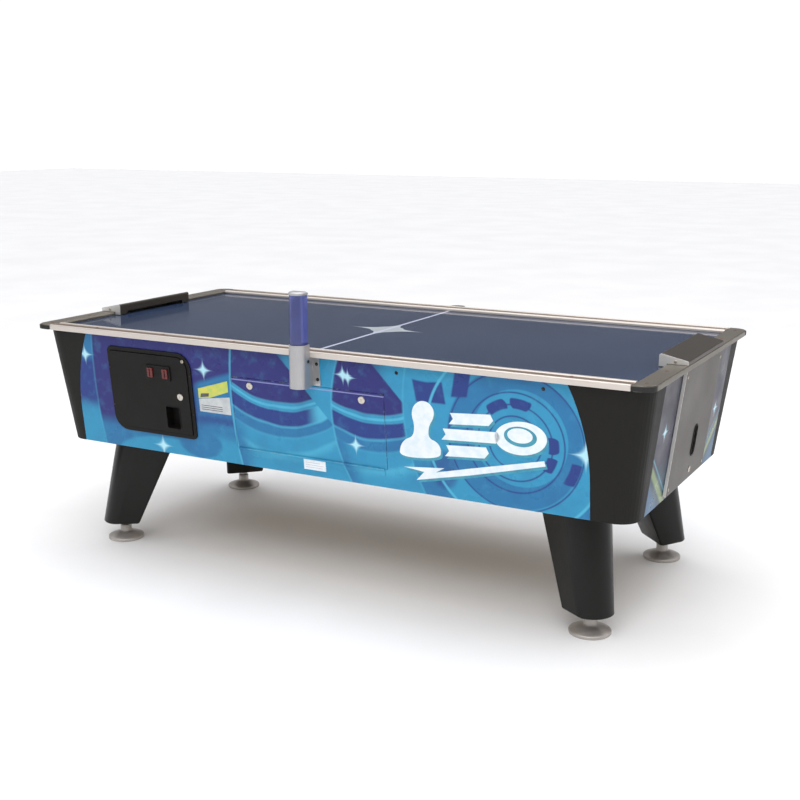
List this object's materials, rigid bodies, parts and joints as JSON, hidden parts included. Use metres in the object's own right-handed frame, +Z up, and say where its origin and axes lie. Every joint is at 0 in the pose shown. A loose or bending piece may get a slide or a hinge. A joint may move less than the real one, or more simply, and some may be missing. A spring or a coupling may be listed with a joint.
{
  "type": "air hockey table",
  "caption": "Coin-operated air hockey table: tapered cabinet on splayed legs, metal rails, goal hoods and end covers, hinged coin and service doors, and a blower under the playing surface.",
  "frame": {"origin": "on the floor, under the middle of the table", "axes": "+X along the length towards the end at the right of the coin door's side, -Y out of the side that holds the coin door and the service door, +Z up"},
  "size_m": [2.25, 1.184, 1.003],
  "materials": {
    "laminate": "printed laminate in blues over board",
    "moulded_black": "textured moulded plastic",
    "leg_black": "black laminate over solid core",
    "playfield": "polished slate-blue sheet with a fine grid of air holes",
    "rail_aluminium": "satin anodised extrusion",
    "rail_steel": "brushed sheet",
    "goal_steel": "brushed sheet",
    "bumper_rubber": "black rubber",
    "foot_steel": "zinc plated",
    "bracket_aluminium": "satin anodised",
    "post_acrylic": "translucent blue acrylic",
    "door_black": "black wrinkle powder coat",
    "button_red": "translucent red plastic",
    "lock_steel": "nickel plated",
    "plywood": "birch plywood",
    "grey_sheet": "galvanised sheet",
    "blower_black": "black moulding"
  },
  "bodies": {
    "table": {"blower_housing": "blower_black", "blower_motor": "grey_sheet", "bottom_panel": "plywood", "cash_box": "grey_sheet", "coin_door_frame": "door_black", "control_box": "grey_sheet", "corner_bumper_far_left": "bumper_rubber", "corner_bumper_far_right": "bumper_rubber", "corner_bumper_near_left": "bumper_rubber", "corner_bumper_near_right": "bumper_rubber", "corner_shell_far_left": "moulded_black", "corner_shell_far_right": "moulded_black", "corner_shell_near_left": "moulded_black", "corner_shell_near_right": "moulded_black", "end_cover_left": "goal_steel", "end_cover_right": "goal_steel", "end_panel_left": "laminate", "end_panel_right": "laminate", "end_rail_left": "rail_steel", "end_rail_right": "rail_steel", "goal_hood_left": "goal_steel", "goal_hood_right": "goal_steel", "intake_grille": "grey_sheet", "leg_far_left": "leg_black", "leg_far_right": "leg_black", "leg_near_left": "leg_black", "leg_near_right": "leg_black", "motor_bracket": "grey_sheet", "playfield": "playfield", "plenum_floor": "plywood", "plenum_frame": "plywood", "power_inlet": "blower_black", "puck_chute_left": "grey_sheet", "puck_chute_right": "grey_sheet", "score_bracket_far": "bracket_aluminium", "score_bracket_near": "bracket_aluminium", "score_post": "post_acrylic", "score_post_cap": "bracket_aluminium", "service_hinge": "lock_steel", "side_panel_far": "laminate", "side_panel_near": "laminate", "side_rail_far": "rail_aluminium", "side_rail_near": "rail_aluminium", "support_frame": "plywood"},
    "coin_door": {"coin_door": "door_black", "coin_entry_plate": "door_black", "coin_return_cup": "door_black", "coin_mech": "blower_black"},
    "coin_button_left": {"coin_button_left": "button_red"},
    "coin_button_right": {"coin_button_right": "button_red"},
    "coin_door_lock": {"coin_door_lock": "lock_steel"},
    "service_door": {"service_door": "laminate"},
    "service_lock_left": {"service_lock_left": "lock_steel"},
    "service_lock_right": {"service_lock_right": "lock_steel"},
    "blower_impeller": {"blower_impeller": "blower_black"},
    "leveller_near_left": {"leveller_near_left": "foot_steel"},
    "leveller_near_right": {"leveller_near_right": "foot_steel"},
    "leveller_far_left": {"leveller_far_left": "foot_steel"},
    "leveller_far_right": {"leveller_far_right": "foot_steel"}
  },
  "joints": [
    {"name": "coin_door_hinge", "type": "hinge", "parent": "table", "child": "coin_door", "pos_m": [-0.81, -0.50737, 0.60499], "axis": [0, 0.1051, -0.9945], "range_deg": [0, 100]},
    {"name": "coin_button_left_push", "type": "slide", "parent": "coin_door", "child": "coin_button_left", "axis": [0, 0.9945, 0.1051], "range_m": [0, 0.004], "stiffness_N_per_m": 300, "springref_m": -0.004},
    {"name": "coin_button_right_push", "type": "slide", "parent": "coin_door", "child": "coin_button_right", "axis": [0, 0.9945, 0.1051], "range_m": [0, 0.004], "stiffness_N_per_m": 300, "springref_m": -0.004},
    {"name": "coin_door_lock_turn", "type": "hinge", "parent": "coin_door", "child": "coin_door_lock", "pos_m": [-0.52, -0.49772, 0.604], "axis": [0, 0.9945, 0.1051], "range_deg": [0, 90]},
    {"name": "service_door_hinge", "type": "hinge", "parent": "table", "child": "service_door", "pos_m": [0, -0.48503, 0.44968], "axis": [1, 0, 0], "range_deg": [0, 165]},
    {"name": "service_lock_left_turn", "type": "hinge", "parent": "service_door", "child": "service_lock_left", "pos_m": [-0.232, -0.50479, 0.671], "axis": [0, -0.9945, -0.1051], "range_deg": [0, 90]},
    {"name": "service_lock_right_turn", "type": "hinge", "parent": "service_door", "child": "service_lock_right", "pos_m": [0.191, -0.50469, 0.67], "axis": [0, -0.9945, -0.1051], "range_deg": [0, 90]},
    {"name": "blower_spin", "type": "hinge", "parent": "table", "child": "blower_impeller", "pos_m": [0.02, 0.16, 0.64], "axis": [0, 0, 1], "continuous": true},
    {"name": "leveller_near_left_screw", "type": "slide", "parent": "table", "child": "leveller_near_left", "axis": [0, 0, 1], "range_m": [-0.03, 0]},
    {"name": "leveller_near_right_screw", "type": "slide", "parent": "table", "child": "leveller_near_right", "axis": [0, 0, 1], "range_m": [-0.03, 0]},
    {"name": "leveller_far_left_screw", "type": "slide", "parent": "table", "child": "leveller_far_left", "axis": [0, 0, 1], "range_m": [-0.03, 0]},
    {"name": "leveller_far_right_screw", "type": "slide", "parent": "table", "child": "leveller_far_right", "axis": [0, 0, 1], "range_m": [-0.03, 0]}
  ]
}
